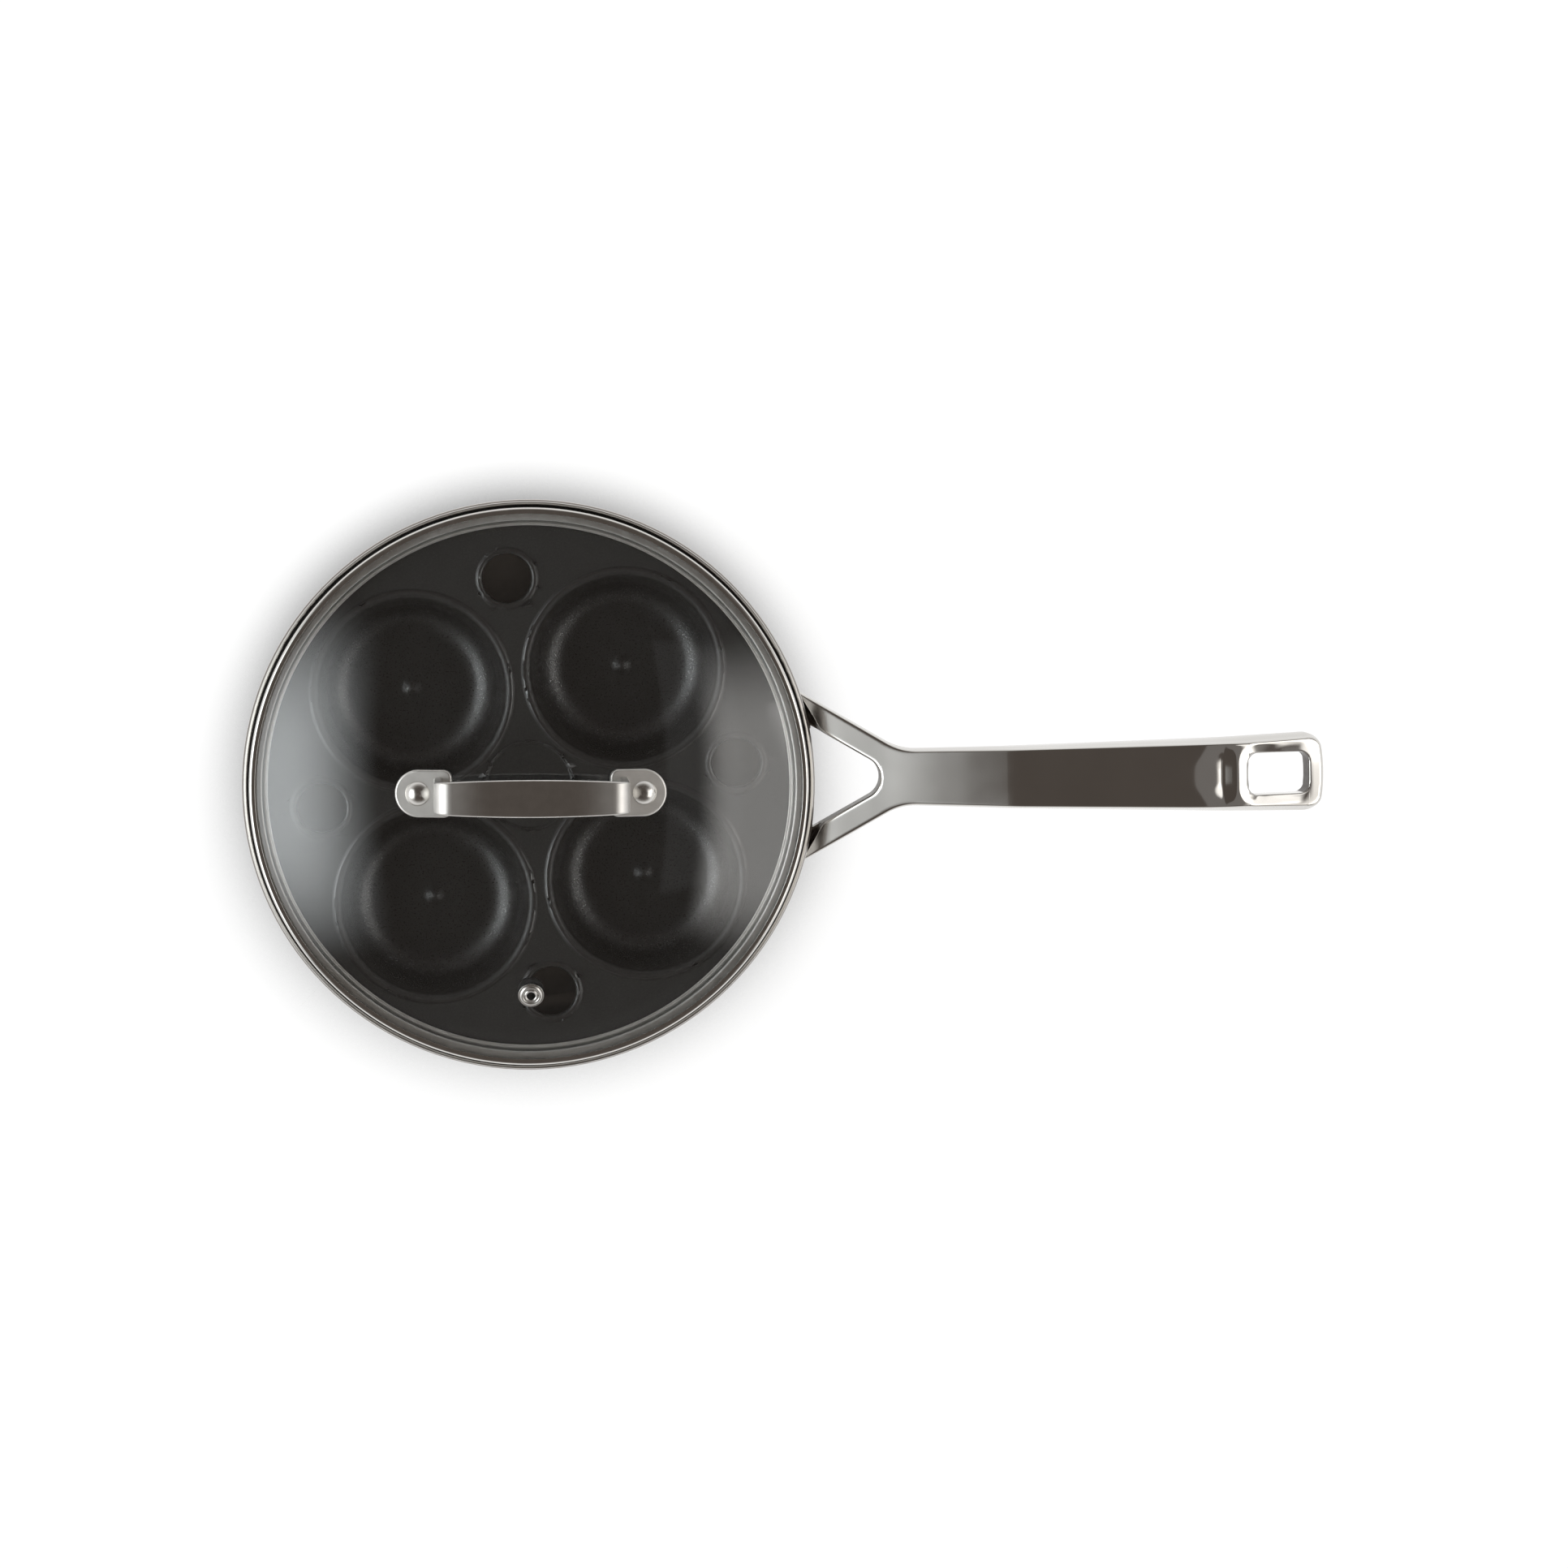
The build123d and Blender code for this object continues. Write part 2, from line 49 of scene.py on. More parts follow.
camera.location = (-0.0348, 0.1688, 2.0021)
camera.rotation_euler = [math.radians(turn) for turn in (-4.95, -3.90, -1.12)]
bpy.context.scene.collection.objects.link(camera)
bpy.context.scene.camera = camera
bpy.context.scene.view_settings.view_transform = "Standard"


# Room. A white table under a dark ceiling, a long softbox to the left of the pan, a smaller and
# dimmer one to its right, and two cards by the handle. The table keeps the pan's soft shadow.
def shader(name):
    """A new node material, its tree and its Principled shader."""
    material = bpy.data.materials.new(name)
    material.use_nodes = True
    tree = material.node_tree
    return material, tree, tree.nodes["Principled BSDF"]


def add(tree, kind, inputs=None, **settings):
    """A node with its settings made, and its inputs set to values or joined to other outputs."""
    made = tree.nodes.new(kind)
    for key, value in settings.items():
        setattr(made, key, value)
    for key, value in (inputs or {}).items():
        if isinstance(value, bpy.types.NodeSocket):
            tree.links.new(value, made.inputs[key])
        else:
            made.inputs[key].default_value = value
    return made


def sums(tree, operation, first, second):
    """The output of one Math node on two numbers or outputs."""
    return add(tree, "ShaderNodeMath", {0: first, 1: second}, operation=operation).outputs[0]


def ramp(tree, factor, stops):
    """A colour ramp through stops of place and colour."""
    made = add(tree, "ShaderNodeValToRGB", {"Fac": factor})
    elements = made.color_ramp.elements
    while len(elements) < len(stops):
        elements.new(1.0)
    for element, (place, colour) in zip(elements, stops):
        element.position = place
        element.color = (*colour, 1.0)
    return made.outputs["Color"]


def spread(tree, value, low, high, to_low=0.0, to_high=1.0):
    """A value carried smoothly from one span to another, and held at the ends."""
    inputs = {"Value": value, "From Min": low, "From Max": high, "To Min": to_low, "To Max": to_high}
    made = add(tree, "ShaderNodeMapRange", inputs, interpolation_type="SMOOTHSTEP")
    return made.outputs["Result"]


table_reach = 20.0
table_mesh = bpy.data.meshes.new("white_table")
corners = [(-table_reach, -table_reach, 0), (table_reach, -table_reach, 0)]
corners += [(table_reach, table_reach, 0), (-table_reach, table_reach, 0)]
table_mesh.from_pydata(corners, [], [(0, 1, 2, 3)])
table = bpy.data.objects.new("white_table", table_mesh)
bpy.context.scene.collection.objects.link(table)
white, tree, paint = shader("white_table_top")
tree.nodes.remove(paint)
path = add(tree, "ShaderNodeLightPath").outputs
seen = sums(tree, "MAXIMUM", path["Is Camera Ray"], path["Is Glossy Ray"])
seen = sums(tree, "MAXIMUM", seen, path["Is Transmission Ray"])
depth = add(tree, "ShaderNodeSeparateXYZ", {0: add(tree, "ShaderNodeTexCoord").outputs["Object"]}).outputs["Y"]
# The shadow reaches further over the table in front of the pan than behind it.
shadow_front, shadow_back, pan_half = 0.050, 0.027, 0.13
reach = spread(tree, depth, -pan_half, pan_half, shadow_front, shadow_back)
near = add(tree, "ShaderNodeAmbientOcclusion", {"Distance": reach}, samples=12)
open_share = spread(tree, near.outputs["AO"], 0.30, 0.97, 0.12, 0.97)
glow = add(tree, "ShaderNodeEmission", {"Strength": sums(tree, "MULTIPLY", seen, open_share)})
matt = add(tree, "ShaderNodeBsdfDiffuse", {"Color": (0.85, 0.85, 0.85, 1.0)})
dull = add(tree, "ShaderNodeBsdfDiffuse", {"Color": (0.16, 0.16, 0.16, 1.0)})
coat = add(tree, "ShaderNodeMixShader", {0: seen, 1: matt.outputs[0], 2: dull.outputs[0]})
both = add(tree, "ShaderNodeAddShader", {0: coat.outputs[0], 1: glow.outputs[0]})
tree.links.new(both.outputs[0], tree.nodes["Material Output"].inputs["Surface"])
table_mesh.materials.append(white)

studio = bpy.data.worlds.new("studio")
bpy.context.scene.world = studio
studio.use_nodes = True
tree = studio.node_tree
tree.nodes.clear()
where = add(tree, "ShaderNodeTexCoord").outputs["Generated"]
height = add(tree, "ShaderNodeSeparateXYZ", {0: where}).outputs["Z"]
wall_tones = [
    (0.0, (1.0, 1.0, 1.0)),
    (0.08, (1.0, 1.0, 1.0)),
    (0.30, (0.50, 0.485, 0.47)),
    (0.43, (0.27, 0.255, 0.24)),
    (0.53, (0.13, 0.115, 0.105)),
    (0.75, (0.105, 0.09, 0.08)),
    (1.0, (0.10, 0.085, 0.075)),
]
sky = add(tree, "ShaderNodeBackground", {"Color": ramp(tree, height, wall_tones)})
add(tree, "ShaderNodeOutputWorld", {"Surface": sky.outputs[0]})


def softbox(name, place, aim, wide, tall, watts, colour, side, ends):
    """An area lamp turned towards an aim, whose light fades in from its upper side and off both ends."""
    data = bpy.data.lights.new(name, "AREA")
    data.shape = "RECTANGLE"
    data.size, data.size_y = wide, tall
    data.energy = watts
    data.color = colour
    data.use_nodes = True
    tree = data.node_tree
    cloth = tree.nodes["Emission"]
    spot = add(tree, "ShaderNodeNewGeometry").outputs["Parametric"]
    split = add(tree, "ShaderNodeSeparateXYZ", {0: spot}).outputs
    across = spread(tree, split[0], *side)
    low = spread(tree, split[1], 0.0, ends)
    high = spread(tree, split[1], 1.0, 1 - ends)
    light = sums(tree, "MULTIPLY", sums(tree, "MULTIPLY", low, high), across)
    tree.links.new(light, cloth.inputs["Strength"])
    lamp = bpy.data.objects.new(name, data)
    lamp.location = place
    lamp.rotation_euler = (Vector(aim) - Vector(place)).to_track_quat("-Z", "X").to_euler()
    lamp.visible_camera = False
    bpy.context.scene.collection.objects.link(lamp)


softbox("left_softbox", (-2.40, -0.18, 1.82), (-0.09, -0.18, 0.075), 2.46, 4.6, 160.0,
        (0.94, 0.985, 1.0), side=(1.0, 0.50), ends=0.44)
softbox("right_softbox", (1.72, -0.35, 1.24), (0.05, -0.35, 0.075), 1.36, 2.7, 23.0,
        (1.0, 0.985, 0.955), side=(1.0, 0.76), ends=0.30)
softbox("dim_card", (0.40, 0.0, 0.50), (0.36, 0.0, 0.0), 0.23, 0.6, 0.052,
        (0.98, 0.99, 1.0), side=(1.0, 0.95), ends=0.05)
softbox("side_card", (0.355, 0.043, 0.201), (0.27, -0.011, 0.09), 0.10, 0.12, 0.055,
        (1.0, 0.99, 0.97), side=(1.0, 0.80), ends=0.15)


# Pan body. Two skins of stainless steel bonded to an aluminium core, deep drawn and turned
# out at the top as a pouring rim. The cut edge shows all three plies.
def fine_lines(tree, stretch, scale, strength, depth=0.00002, place=None):
    """Bump from noise drawn out along one way, as a polishing wheel leaves it."""
    place = place or add(tree, "ShaderNodeTexCoord").outputs["Object"]
    drawn = add(tree, "ShaderNodeMapping", {"Vector": place, "Scale": stretch})
    noise = add(tree, "ShaderNodeTexNoise", {"Vector": drawn.outputs[0], "Scale": scale, "Detail": 3.0})
    bump = {"Height": noise.outputs["Fac"], "Strength": strength, "Distance": depth}
    return noise.outputs["Fac"], add(tree, "ShaderNodeBump", bump).outputs["Normal"]


def metal(name, dark, pale, smooth, rough, stretch, scale, strength, depth=0.00002):
    """A metal whose colour and roughness drift with fine polishing lines."""
    material, tree, paint = shader(name)
    grain, normal = fine_lines(tree, stretch, scale, strength, depth)
    tree.links.new(ramp(tree, grain, [(0.3, dark), (0.7, pale)]), paint.inputs["Base Color"])
    tree.links.new(spread(tree, grain, 0.3, 0.7, smooth, rough), paint.inputs["Roughness"])
    tree.links.new(normal, paint.inputs["Normal"])
    paint.inputs["Metallic"].default_value = 1.0
    return material


def two_finishes(name, low, high, below, above, stretch, scale, strength):
    """Steel whose roughness goes from one value below a height to another above it, with fine lines."""
    material, tree, paint = shader(name)
    place = add(tree, "ShaderNodeTexCoord").outputs["Object"]
    grain, normal = fine_lines(tree, stretch, scale, strength, place=place)
    level = add(tree, "ShaderNodeSeparateXYZ", {0: place}).outputs["Z"]
    drift = sums(tree, "MULTIPLY", sums(tree, "SUBTRACT", grain, 0.5), 0.14)
    rough = sums(tree, "MAXIMUM", sums(tree, "ADD", spread(tree, level, low, high, below, above), drift), 0.03)
    tones = [(0.3, (0.60, 0.585, 0.56)), (0.7, (0.66, 0.645, 0.62))]
    tree.links.new(ramp(tree, grain, tones), paint.inputs["Base Color"])
    tree.links.new(rough, paint.inputs["Roughness"])
    tree.links.new(normal, paint.inputs["Normal"])
    paint.inputs["Metallic"].default_value = 1.0
    return material


def dress(finish, *names):
    """CAD nodes kept as they are, with a finish on them."""
    for name in names:
        for slot in nodes[name].material_slots:
            slot.material = finish


skin = metal("satin_skin", (0.58, 0.565, 0.54), (0.64, 0.625, 0.60), 0.20, 0.28, (1, 1, 14), 260.0, 0.10)
inside_skin = two_finishes("brushed_inside", 0.0610, 0.0650, 0.36, 0.14, (1, 1, 14), 260.0, 0.12)
# The aluminium core's cut edge is painted dark brown, darker than the metal itself: painted shade along the rim's outer
# edge.
core = metal("aluminium_painted_dark", (0.15, 0.13, 0.115), (0.20, 0.175, 0.155), 0.30, 0.40, (1, 1, 6), 500.0, 0.12)
dress(skin, "pan_outer_ply")
dress(core, "pan_core_ply")
dress(inside_skin, "pan_inner_ply", "pan_rivet_left", "pan_rivet_right")


# Pan handle. One stainless casting, polished bright: two legs run down to pads on the wall,
# and the grip ends in a thumb hollow and a rounded loop to hang the pan by.
def rounded(corners, bends, turn=6.0, guard=0.25):
    """An open line with each inner corner replaced by an arc that touches both its sides.
    A point a guard's length outside each arc keeps the flats beside it flat when shaded."""
    corners = np.asarray(corners, float)
    points = [corners[:1]]
    for before, corner, after, bend in zip(corners, corners[1:], corners[2:], bends):
        one, two = before - corner, after - corner
        one, two = one / np.linalg.norm(one), two / np.linalg.norm(two)
        half = math.acos(np.clip(one @ two, -1, 1)) / 2
        if bend <= 0:
            points.append(corner[None])
            continue
        centre = corner + (one + two) / np.linalg.norm(one + two) * bend / math.sin(half)
        start = corner + one * bend / math.tan(half) - centre
        sweep = math.pi - 2 * half
        sweep *= math.copysign(1.0, one[1] * two[0] - one[0] * two[1])
        angles = np.linspace(0, sweep, max(4, int(abs(math.degrees(sweep)) / turn) + 2))
        cosine, sine = np.cos(angles), np.sin(angles)
        arc = np.stack([start[0] * cosine - start[1] * sine, start[0] * sine + start[1] * cosine], 1)
        arc = arc + centre
        points.append(np.vstack([arc[:1] + one * guard, arc, arc[-1:] + two * guard]))
    points.append(corners[-1:])
    return np.vstack(points)


def mesh_piece(name, points, faces, finish, body, flat_above=40.0):
    """A new object from points in millimetres and faces, with doubles merged and faces turned outwards."""
    mesh = bpy.data.meshes.new(name)
    mesh.from_pydata((np.asarray(points) * 0.001).tolist(), [], [list(face) for face in faces])
    work = bmesh.new()
    work.from_mesh(mesh)
    bmesh.ops.remove_doubles(work, verts=work.verts, dist=2e-6)
    bmesh.ops.dissolve_degenerate(work, edges=work.edges, dist=1e-6)
    bmesh.ops.recalc_face_normals(work, faces=work.faces)
    work.to_mesh(mesh)
    work.free()
    mesh.shade_smooth()
    mesh.set_sharp_from_angle(angle=math.radians(flat_above))
    mesh.materials.append(finish)
    piece = bpy.data.objects.new(name, mesh)
    bpy.context.scene.collection.objects.link(piece)
    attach(piece, body)
    return piece


def grid_faces(rows, columns, start=0, keep=None):
    """Quads between neighbours on a grid of points, the columns closed into a ring."""
    row, column = np.meshgrid(np.arange(rows - 1), np.arange(columns), indexing="ij")
    after = (column + 1) % columns
    quads = np.stack([row * columns + column, (row + 1) * columns + column,
                      (row + 1) * columns + after, row * columns + after], -1)
    return (quads if keep is None else quads[keep]).reshape(-1, 4) + start


def distance_to(line, x, y):
    """The shortest distance from each point to a line of short straight pieces."""
    start, way = line[:-1], np.diff(line, axis=0)
    found = np.full(x.shape, 1e9)
    for (ax, ay), (wx, wy) in zip(start, way):
        share = np.clip(((x - ax) * wx + (y - ay) * wy) / (wx * wx + wy * wy), 0, 1)
        found = np.minimum(found, np.hypot(x - ax - share * wx, y - ay - share * wy))
    return found


def smooth(value, low, high):
    """Zero below low, one above high and an even S between them."""
    share = np.clip((value - low) / (high - low), 0, 1)
    return share * share * (3 - 2 * share)


wall_radius = 102.4
handle_tip = 291.2
leg_lean = math.radians(30.5)
leg_meet, half_leg = 145.6, 4.4 / math.cos(leg_lean)
tip_lean = math.tan(math.radians(8.0))
far_leg = 92.0
leg_out = (leg_meet - far_leg) * math.tan(leg_lean)
grip_corners = [(far_leg, leg_out + half_leg), (136.75, 10.33), (289.6, 14.7), (handle_tip, 0), (289.6, -14.7)]
outer_line = rounded(grip_corners, [20.0, 6.5, 70.0], 3.0)
outer_line = outer_line[outer_line[:, 1] >= 0]
outer_line = np.vstack([outer_line, [outer_line[-1, 0] + 0.01, 0.0]])
fork_point = leg_meet - half_leg / math.tan(leg_lean)
fork_line = rounded([(far_leg, leg_out - half_leg), (fork_point, 0), (far_leg, half_leg - leg_out)], [7.8], 3.0)
fork_line = fork_line[fork_line[:, 1] >= 0]
fork_end = fork_point - 7.8 * (1 / math.sin(leg_lean) - 1)
fork_line = np.vstack([fork_line, [fork_end, 0.0]])
hole_start, hole_end, hole_half = 262.2, 285.2, 7.6
hole_line = rounded([(hole_start, 0), (hole_start, hole_half), (hole_end, hole_half), (hole_end, 0)], [3.8, 3.8], 5.0)

circle = 1 - np.cos(np.linspace(0, math.pi / 2, 14))
stations = np.concatenate([
    np.arange(92.5, 105.0, 0.6), np.arange(105.0, 108.1, 0.12), np.arange(108.5, fork_end - 5, 0.8),
    fork_end - 5 * circle, fork_end + 2.2 * circle,
    np.arange(131.0, 240.0, 1.6), np.arange(240.0, hole_start - 4, 0.45), hole_start - 4 * circle,
    hole_start + 3.8 * circle, np.arange(266.5, 281.0, 0.9), hole_end - 3.8 * circle, hole_end + 3.8 * circle,
    outer_line[-1, 0] - 7.0 * circle, np.linspace(outer_line[-1, 0] - 0.35, outer_line[-1, 0], 6)])
stations = np.unique(np.round(stations, 4))
stations = stations[stations <= outer_line[-1, 0]]
reach_out = np.interp(stations, outer_line[:, 0], outer_line[:, 1])
reach_in = np.where(stations < fork_end, np.interp(stations, fork_line[:, 0], fork_line[:, 1]), 0.0)
in_hole = (stations > hole_start) & (stations < hole_end)
hole_edge = np.interp(stations, hole_line[:, 0], np.minimum(hole_line[:, 1], hole_half))
reach_in = np.where(in_hole, hole_edge, reach_in)


def line_of(height, stops):
    """Heights along the handle from x = 90, by adding up slopes given in degrees at a few places."""
    x = np.arange(90.0, 296.0, 0.05)
    slope = np.tan(np.radians(np.interp(x, *zip(*stops))))
    return x, height + np.concatenate([[0.0], np.cumsum(0.025 * (slope[1:] + slope[:-1]))])


# Slopes of the top's middle line: a steep neck, a flatter grip and a loop that leans down.
to_grip = [(90, 21.05), (112, 21.05), (118, 21.05), (127, 21.2), (134, 21.6), (152, 21.15), (157, 21.2), (163, 20.85),
           (175.5, 20.7), (180.0, 8.85), (230, 8.85)]
bridge = line_of(55.02, to_grip + [(238, 7.5), (246, 3), (254, -4), (260, -11), (264, -13.5), (296, -13.5)])
scoop = line_of(55.02, to_grip + [(241.6, 1.2), (246, -5), (249, -9.5), (250.5, -13.5), (252.1, -15.5), (252.5, 0),
                                  (253.1, 23), (256.2, 23), (258.4, -6), (260, -12.5), (264, -13.5), (296, -13.5)])
underside = line_of(43.73, [(90, 21.4), (106, 21.4), (174, 18.3), (178, 8.85), (246, 8.85), (262, -8), (296, -8)])


def top_height(x):
    """Height of the top's middle line without the thumb hollow."""
    return np.interp(x, *bridge)


# Across the handle: up the inner wall, over the top from the inner edge to the outer one, down
# the outer wall and back along the underside. Each edge is a quarter circle.
quarter = np.linspace(0, math.pi / 2, 8)
along_edge = 1 - np.cos(quarter)
width = np.maximum(reach_out - reach_in, 0.0)[:, None]
place = stations[:, None]
near_fork = 1 - smooth(place, 132.0, 140.0)
edge_in = 0.9 * near_fork + 0.7 * smooth(place, 240.0, 250.0)
edge_out = 1.25 + 0.35 * smooth(place, 248.0, 264.0)
low_edge_in, low_edge_out = 1.8, 3.4


def across(inner, outer, middle):
    """Distances from the inner outline to the outer one, close together inside each edge's width."""
    stretch = np.sqrt(1 + np.gradient(reach_out, stations, edge_order=1) ** 2)[:, None].clip(1, 3)
    inner = np.minimum(np.maximum(inner, 0.4), width * 0.42)
    outer = np.minimum(outer * stretch, width * 0.42)
    share = np.linspace(0, 1, middle + 2)[None, 1:-1]
    flat = inner + (width - inner - outer) * share
    return np.concatenate([inner * along_edge[None], flat, width - outer * along_edge[None, ::-1]], 1)


def lip_place(y):
    """Where the S-shaped step across the root of a leg lies, at a distance from the middle line."""
    return np.interp(y, [10.0, 16.7, 18.2, 19.7, 23.0, 27.2, 34.0], [112.4, 109.6, 108.5, 107.6, 105.9, 103.4, 99.6])


def along_lip(share):
    """Places and distances on a leg for shares of its width, in rows that turn to run along the step."""
    lean = 1 - smooth(place, 112.0, 124.0)
    x = np.broadcast_to(place, share.shape)
    for _ in range(8):
        inner = np.interp(x, fork_line[:, 0], fork_line[:, 1])
        outer = np.interp(x, outer_line[:, 0], outer_line[:, 1])
        y = inner + (outer - inner) * share
        x = place + lean * (lip_place(y) - 107.6)
    return x, y


def laid_out(inner_edge, outer_edge, middle):
    """Places and distances of the points over the width, between the two outlines."""
    gaps = across(inner_edge, outer_edge, middle)
    y = reach_in[:, None] + gaps
    leg_x, leg_y = along_lip(gaps / np.maximum(width, 0.01))
    root = place < 124.0
    return np.where(root, leg_x, place), np.where(root, leg_y, y)


top_x, top_y = laid_out(edge_in, edge_out, 12)
low_x, low_y = laid_out(low_edge_in, low_edge_out, 6)


def edge_drop(gap, radius):
    """How far a surface lies below its flat at a gap from the outline, inside a quarter circle of a radius."""
    inside = np.clip(radius - gap, 0, radius)
    return radius - np.sqrt(np.maximum(radius ** 2 - inside ** 2, 0))


def heights(x, y, radius_in, radius_out):
    """The distance to the hole's outline, and the drop that the edges along both outlines give."""
    to_outer = distance_to(outer_line, x, y)
    to_fork = distance_to(fork_line, x, y)
    to_hole = distance_to(hole_line, x, y)
    inner_gap = np.minimum(to_fork, to_hole)
    return to_hole, edge_drop(to_outer, radius_out) + edge_drop(inner_gap, radius_in)


to_hole, drop = heights(top_x, top_y, np.where(place > 200, 0.7, 0.9), edge_out)
bow = top_x - 4.5 * (top_y / 13.0) ** 2 * (1 - smooth(top_x, 244.0, 251.0))
hollow = np.interp(bow, *scoop) - np.interp(bow, *bridge)
hollow = hollow * (1 - 0.85 * smooth(top_y, 3.0, 13.0))
# The loop slopes down to its hole: straight from 4.2 mm to the edge, eased out to 5.8 mm.
sloped = np.where(to_hole < 4.2, 5.0 - to_hole, np.clip(5.8 - to_hole, 0, None) ** 2 / 3.2)
drop = drop + 0.36 * sloped * (0.3 + 0.7 * smooth(top_x, 256.0, 268.0)) * (1 - smooth(top_x, 265.0, 287.0))
beyond = np.clip(lip_place(top_y) - 0.4 - top_x, 0, None)
step = 4.2 * smooth(beyond, 0.0, 1.3) - 0.36 * beyond
top_z = top_height(top_x) - drop + hollow - step
_, low_drop = heights(low_x, low_y, np.full_like(place, low_edge_in), np.full_like(place, low_edge_out))
low_z = np.interp(low_x, *underside) + low_drop

# The outer walls lean in towards the top, most where the grip is widest.
draft = np.interp(place, [112.0, 140.0, 175.0, 240.0, 262.0, 284.0, 290.5], [0.1, 0.35, 0.7, 1.45, 1.8, 1.6, 0.0])
top_y = top_y - draft * (top_y - reach_in[:, None]).clip(0, None) / np.maximum(width, 0.01)
rise = np.linspace(0, 1, 7)[None, 1:-1]
outer_z = top_z[:, -1:] + (low_z[:, -1:] - top_z[:, -1:]) * rise
bulge = 0.35 * np.sin(math.pi * rise) * np.minimum(width / 4, 1)
outer_y = top_y[:, -1:] + (low_y[:, -1:] - top_y[:, -1:]) * rise + bulge
outer_x = np.broadcast_to(top_x[:, -1:], outer_z.shape)
inner_z = low_z[:, :1] + (top_z[:, :1] - low_z[:, :1]) * rise
inner_y = np.broadcast_to(top_y[:, :1], inner_z.shape)
inner_x = np.broadcast_to(top_x[:, :1], inner_z.shape)
ring_y = np.concatenate([top_y, outer_y, low_y[:, ::-1], inner_y], 1)
ring_z = np.concatenate([top_z, outer_z, low_z[:, ::-1], inner_z], 1)
ring_x = np.concatenate([top_x, outer_x, low_x[:, ::-1], inner_x], 1)
# The loop's walls stand square to its sloping top, so they lean along the handle.
ring_x = (ring_x - (top_height(ring_x) - ring_z) * tip_lean * smooth(ring_x, 250.0, 262.0)
          * (1 - smooth(ring_x, 286.0, 291.0)))
on_wall = np.sqrt(np.maximum(wall_radius ** 2 - ring_y ** 2, 0)) - 0.2
ring_x = np.maximum(ring_x, on_wall)
half_points = np.stack([ring_x, ring_y, ring_z], -1)
rows, columns = ring_y.shape
inner_columns = np.zeros(columns, bool)
inner_columns[top_y.shape[1] + 5 + low_y.shape[1] - 1:] = True
solid = (reach_in[:-1] <= 0) & (reach_in[1:] <= 0)
keep = ~(solid[:, None] & inner_columns[None])
half_faces = grid_faces(rows, columns, 0, keep)
end_cap = np.arange(columns)
points = half_points.reshape(-1, 3)
count = len(points)
mirrored = points * [1, -1, 1]
faces = half_faces.tolist() + [end_cap.tolist()]
faces += (half_faces[:, ::-1] + count).tolist() + [(end_cap[::-1] + count).tolist()]


def pad_shell(side, start):
    """A pad as a closed sheet on the wall: a rounded rectangle wound round the pan, with soft front edges."""
    middle = side * (math.asin(leg_meet * math.sin(leg_lean) / 106.6) - leg_lean)
    angles = np.linspace(0, 2 * math.pi, 73)[:-1]
    half_wide, half_tall, centre_height = 7.5, 11.5, 45.5
    cosine, sine = np.cos(angles), np.sin(angles)
    power = 0.32
    wide = half_wide * np.sign(cosine) * np.abs(cosine) ** power
    tall = half_tall * np.sign(sine) * np.abs(sine) ** power
    inset = np.array([0.0, 0.0, 0.15, 0.5, 1.0, 1.6])
    depth = np.array([-0.2, 3.0, 3.7, 4.05, 4.2, 4.2])
    scale_w = (half_wide - inset) / half_wide
    scale_t = (half_tall - inset) / half_tall
    u = wide[None] * scale_w[:, None]
    v = tall[None] * scale_t[:, None] + centre_height
    radius = wall_radius + depth[:, None] + 0 * u
    turn = middle + u / wall_radius
    shell = np.stack([radius * np.cos(turn), radius * np.sin(turn), v], -1).reshape(-1, 3)
    quads = grid_faces(len(inset), len(angles), start)
    last = start + len(angles) * (len(inset) - 1)
    ends = [(np.arange(len(angles))[::-1] + start).tolist(), (np.arange(len(angles)) + last).tolist()]
    return shell, quads.tolist() + ends


one, one_faces = pad_shell(1, 2 * count)
two, two_faces = pad_shell(-1, 2 * count + len(one))
points = np.vstack([points, mirrored, one, two])
faces = faces + one_faces + two_faces
bright = metal("polished_casting", (0.60, 0.585, 0.56), (0.64, 0.625, 0.60), 0.07, 0.12, (1, 1, 1), 35.0, 0.05, 0.00006)
tree = bright.node_tree
paint = tree.nodes["Principled BSDF"]
along = add(tree, "ShaderNodeSeparateXYZ", {0: add(tree, "ShaderNodeTexCoord").outputs["Object"]}).outputs["X"]
polish = paint.inputs["Roughness"].links[0].from_socket
tree.links.new(sums(tree, "ADD", polish, spread(tree, along, 0.104, 0.118, 0.16, 0.0)), paint.inputs["Roughness"])
casting = mesh_piece("handle_casting", points, faces, bright, "pan")
# The fork's inside walls are rougher satin steel painted a darker grey, which is painted shade between the legs.
# The roots under the rim and the eye's far wall are painted dark brown, which is painted shade in those recesses.
satin_wall_with_painted_shade = metal("satin_fork_wall_painted_shade", (0.27, 0.26, 0.245), (0.33, 0.32, 0.305), 0.34, 0.44, (1, 1, 1), 600.0, 0.15)
painted_shade_dark = metal("painted_shade_dark_wall", (0.045, 0.037, 0.031), (0.07, 0.06, 0.052), 0.30, 0.40, (1, 1, 1), 600.0, 0.15)
middle, facing = np.empty((2, len(casting.data.polygons) * 3))
casting.data.polygons.foreach_get("center", middle)
casting.data.polygons.foreach_get("normal", facing)
(at_x, at_y, at_z), (to_x, to_y, to_z) = middle.reshape(-1, 3).T * 1000, facing.reshape(-1, 3).T
upright = np.abs(to_z) < 0.5
fork_wall = upright & (at_x > 107) & (at_x < 132) & ((to_y * np.sign(at_y) < -0.2) | (to_x < -0.5))
root = (at_x < lip_place(np.abs(at_y)) - 0.7) & (to_z > 0.15) & (at_z > 54)
eye_wall = upright & (at_x > 278) & (to_x < -0.3)
# Roots and the eye's far wall take the dark painted shade; the fork walls take the darker satin with painted shade.
kinds = np.where(root | eye_wall, 2, np.where(fork_wall, 1, 0)).astype(np.int32)
casting.data.materials.append(satin_wall_with_painted_shade)
casting.data.materials.append(painted_shade_dark)
casting.data.polygons.foreach_set("material_index", kinds)
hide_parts("pan_handle")


